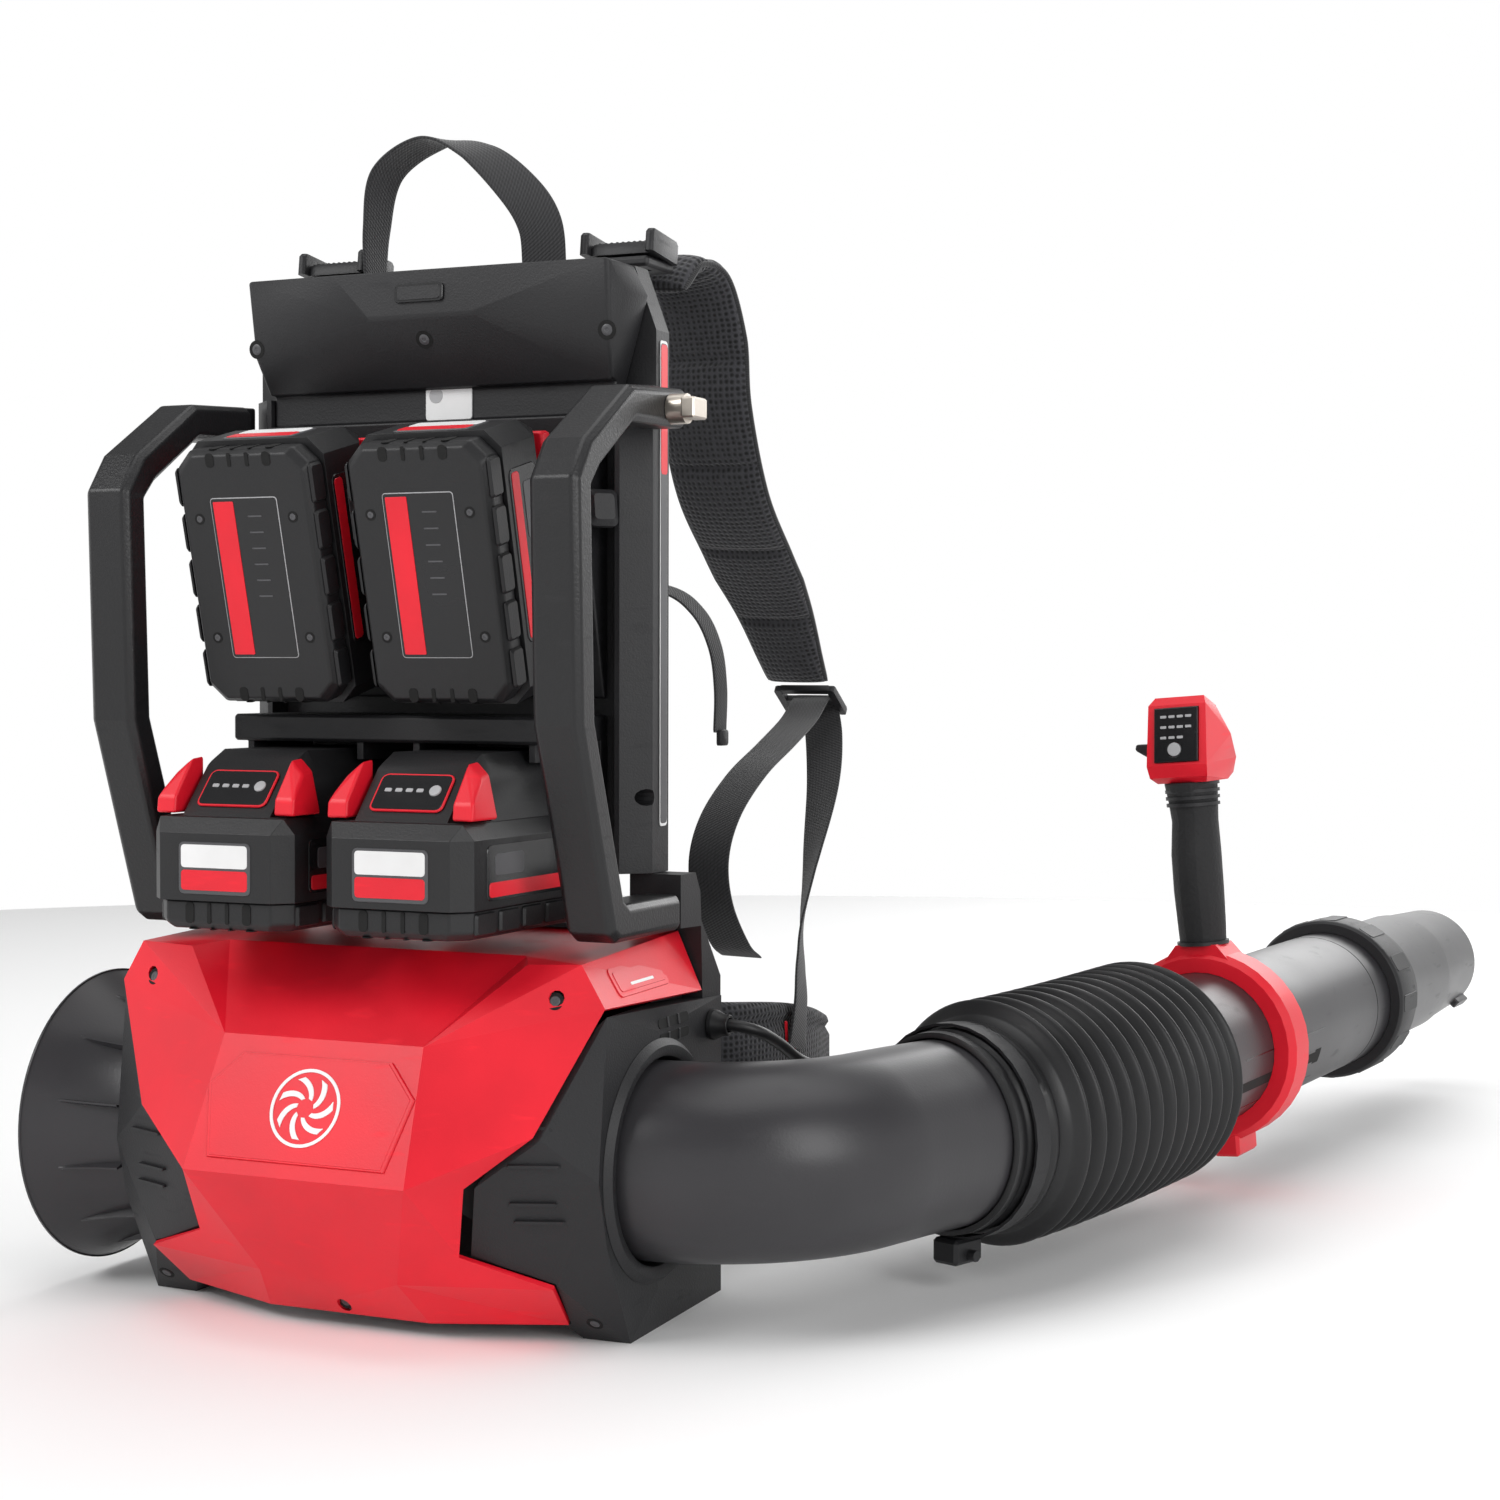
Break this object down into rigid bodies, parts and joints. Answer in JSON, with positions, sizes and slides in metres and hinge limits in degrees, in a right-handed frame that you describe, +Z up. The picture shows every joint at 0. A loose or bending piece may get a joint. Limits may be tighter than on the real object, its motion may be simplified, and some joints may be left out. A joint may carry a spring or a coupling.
{
  "type": "backpack leaf blower",
  "caption": "Backpack leaf blower with slide-on battery packs, axial fan housing, ribbed hose, straight tube with control handle, and padded harness.",
  "frame": {"origin": "middle of the housing's flat sole, in the plane midway between the packs", "axes": "+X to the wearer's right, +Y the way the wearer faces, +Z up"},
  "size_m": [0.6326, 1.1095, 0.6424],
  "materials": {
    "red_plastic": "satin",
    "black_plastic": "fine grain",
    "tube_plastic": "satin",
    "rubber": "matt",
    "fabric": "woven",
    "steel": "brushed",
    "aluminium": "cast",
    "board": "coated",
    "panel": "gloss"
  },
  "bodies": {
    "machine": {"rear_cover": "red_plastic", "fan_housing": "black_plastic", "inlet_cone": "black_plastic", "inlet_guard": "black_plastic", "outlet_bezel": "black_plastic", "motor_can": "aluminium", "bearing_front": "steel", "bearing_rear": "steel", "controller_board": "board", "frame_shell": "black_plastic", "frame_cover": "black_plastic", "upper_dock": "black_plastic", "lower_dock": "black_plastic", "handle_left": "black_plastic", "handle_right": "black_plastic", "hitch_peg": "steel", "cable_gland": "rubber", "control_cable": "rubber", "back_pad": "fabric", "shoulder_pad_left": "fabric", "shoulder_pad_right": "fabric", "top_buckle_left": "black_plastic", "top_buckle_right": "black_plastic", "lower_strap_left": "fabric", "lower_strap_right": "fabric", "hip_belt": "fabric", "carry_loop": "fabric", "chest_strap": "fabric"},
    "fan": {"fan_rotor": "black_plastic", "drive_shaft": "steel"},
    "outlet": {"elbow": "tube_plastic", "bellows": "rubber", "hose_clamp": "steel"},
    "tube": {"handle_tube": "tube_plastic"},
    "collar": {"twist_collar": "black_plastic"},
    "nozzle_tube": {"nozzle": "tube_plastic"},
    "handle": {"handle_ring": "red_plastic", "grip": "rubber", "head_shell": "red_plastic", "control_panel": "panel"},
    "trigger_body": {"trigger": "red_plastic"},
    "lever_body": {"cruise_lever": "black_plastic"},
    "button_body": {"power_button": "panel"},
    "pack_lower_left": {"pack_lower_left_case": "black_plastic", "pack_lower_left_base": "black_plastic"},
    "pack_lower_left_button_left": {"pack_lower_left_latch_left": "red_plastic"},
    "pack_lower_left_button_right": {"pack_lower_left_latch_right": "red_plastic"},
    "pack_lower_right": {"pack_lower_right_case": "black_plastic", "pack_lower_right_base": "black_plastic"},
    "pack_lower_right_button_left": {"pack_lower_right_latch_left": "red_plastic"},
    "pack_lower_right_button_right": {"pack_lower_right_latch_right": "red_plastic"},
    "pack_upper_left": {"pack_upper_left_case": "black_plastic", "pack_upper_left_base": "black_plastic"},
    "pack_upper_left_button_left": {"pack_upper_left_latch_left": "red_plastic"},
    "pack_upper_left_button_right": {"pack_upper_left_latch_right": "red_plastic"},
    "pack_upper_right": {"pack_upper_right_case": "black_plastic", "pack_upper_right_base": "black_plastic"},
    "pack_upper_right_button_left": {"pack_upper_right_latch_left": "red_plastic"},
    "pack_upper_right_button_right": {"pack_upper_right_latch_right": "red_plastic"}
  },
  "joints": [
    {"name": "fan_spin", "type": "hinge", "parent": "machine", "child": "fan", "pos_m": [-0.02, -0.017, 0.089], "axis": [1, 0, 0], "continuous": true},
    {"name": "elbow_swivel", "type": "hinge", "parent": "machine", "child": "outlet", "pos_m": [0.14, -0.017, 0.089], "axis": [1, 0, 0], "range_deg": [-20, 50], "deforming": ["control_cable"]},
    {"name": "tube_swing", "type": "hinge", "parent": "outlet", "child": "tube", "pos_m": [0.2853, 0.2365, 0.092], "axis": [0, 0, 1], "range_deg": [-20, 20], "deforming": ["bellows"]},
    {"name": "handle_slide", "type": "slide", "parent": "tube", "child": "handle", "axis": [0.1201, 0.9927, 0.0122], "range_m": [-0.04, 0.12]},
    {"name": "collar_twist", "type": "hinge", "parent": "tube", "child": "collar", "pos_m": [0.3558, 0.69951, 0.09919], "axis": [0.1201, 0.9927, 0.0122], "range_deg": [-30, 0]},
    {"name": "nozzle_slide", "type": "slide", "parent": "tube", "child": "nozzle_tube", "axis": [0.1201, 0.9927, 0.0122], "range_m": [-0.1, 0.04]},
    {"name": "trigger_pull", "type": "hinge", "parent": "handle", "child": "trigger_body", "pos_m": [0.31528, 0.47175, 0.25987], "axis": [-0.9896, 0.1207, -0.0785], "range_deg": [0, 8], "stiffness_Nm_per_rad": 0.6, "springref_deg": -5.73},
    {"name": "cruise_turn", "type": "hinge", "parent": "handle", "child": "lever_body", "pos_m": [0.29471, 0.46379, 0.29032], "axis": [0.1201, 0.9927, 0.0122], "range_deg": [-15, 15]},
    {"name": "button_press", "type": "slide", "parent": "handle", "child": "button_body", "axis": [0.1331, 0.975, -0.1782], "range_m": [0, 0.0008], "stiffness_N_per_m": 800, "springref_m": -0.0005},
    {"name": "pack_lower_left_slide", "type": "slide", "parent": "machine", "child": "pack_lower_left", "axis": [0, -1, 0], "range_m": [0, 0.1]},
    {"name": "pack_lower_left_press_left", "type": "slide", "parent": "pack_lower_left", "child": "pack_lower_left_button_left", "axis": [1, 0, 0], "range_m": [0, 0.003], "stiffness_N_per_m": 600, "springref_m": -0.001},
    {"name": "pack_lower_left_press_right", "type": "slide", "parent": "pack_lower_left", "child": "pack_lower_left_button_right", "axis": [-1, 0, 0], "range_m": [0, 0.003], "stiffness_N_per_m": 600, "springref_m": -0.001},
    {"name": "pack_lower_right_slide", "type": "slide", "parent": "machine", "child": "pack_lower_right", "axis": [0, -1, 0], "range_m": [0, 0.1]},
    {"name": "pack_lower_right_press_left", "type": "slide", "parent": "pack_lower_right", "child": "pack_lower_right_button_left", "axis": [1, 0, 0], "range_m": [0, 0.003], "stiffness_N_per_m": 600, "springref_m": -0.001},
    {"name": "pack_lower_right_press_right", "type": "slide", "parent": "pack_lower_right", "child": "pack_lower_right_button_right", "axis": [-1, 0, 0], "range_m": [0, 0.003], "stiffness_N_per_m": 600, "springref_m": -0.001},
    {"name": "pack_upper_left_slide", "type": "slide", "parent": "machine", "child": "pack_upper_left", "axis": [0, -0.2419, 0.9703], "range_m": [0, 0.1]},
    {"name": "pack_upper_left_press_left", "type": "slide", "parent": "pack_upper_left", "child": "pack_upper_left_button_left", "axis": [1, 0, 0], "range_m": [0, 0.003], "stiffness_N_per_m": 600, "springref_m": -0.001},
    {"name": "pack_upper_left_press_right", "type": "slide", "parent": "pack_upper_left", "child": "pack_upper_left_button_right", "axis": [-1, 0, 0], "range_m": [0, 0.003], "stiffness_N_per_m": 600, "springref_m": -0.001},
    {"name": "pack_upper_right_slide", "type": "slide", "parent": "machine", "child": "pack_upper_right", "axis": [0, -0.2419, 0.9703], "range_m": [0, 0.1]},
    {"name": "pack_upper_right_press_left", "type": "slide", "parent": "pack_upper_right", "child": "pack_upper_right_button_left", "axis": [1, 0, 0], "range_m": [0, 0.003], "stiffness_N_per_m": 600, "springref_m": -0.001},
    {"name": "pack_upper_right_press_right", "type": "slide", "parent": "pack_upper_right", "child": "pack_upper_right_button_right", "axis": [-1, 0, 0], "range_m": [0, 0.003], "stiffness_N_per_m": 600, "springref_m": -0.001}
  ]
}
